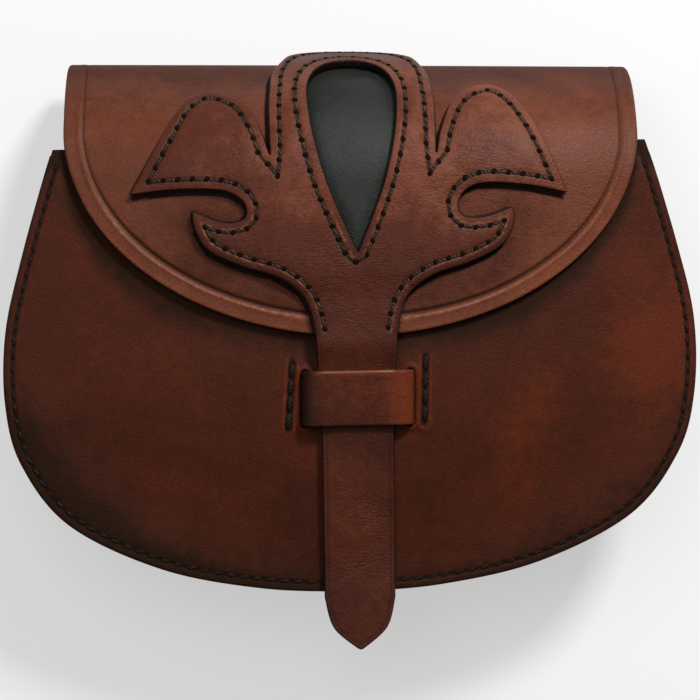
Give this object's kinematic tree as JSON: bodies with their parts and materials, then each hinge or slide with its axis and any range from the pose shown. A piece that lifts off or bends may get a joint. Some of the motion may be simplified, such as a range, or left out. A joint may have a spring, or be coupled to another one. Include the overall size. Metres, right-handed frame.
{
  "type": "belt bag",
  "caption": "Leather belt bag with a moulded front, a gusset, a flap with a cut-out ornament that ends in a closing tongue, a keeper and belt loops on the back.",
  "frame": {"origin": "under the middle of the whole bag, on the surface that its belt loops rest on", "axes": "+X across the bag, +Y from its bottom to its top, +Z out of its front, so that it lies on its back"},
  "size_m": [0.2372, 0.2066, 0.0728],
  "materials": {
    "body_leather": "dyed vegetable-tanned leather, waxed, satin",
    "flap_leather": "dyed vegetable-tanned leather, waxed, satin",
    "ornament_leather": "dyed vegetable-tanned leather, waxed, satin",
    "keeper_leather": "dyed vegetable-tanned leather, waxed, satin",
    "black_leather": "black dyed leather, soft sheen"
  },
  "bodies": {
    "root": {"front_panel": "body_leather", "gusset": "body_leather", "back_and_flap": "flap_leather", "ornament_and_tongue": "ornament_leather", "window_inlay": "black_leather", "keeper": "keeper_leather", "belt_loop_left": "body_leather", "belt_loop_right": "body_leather"}
  },
  "joints": []
}
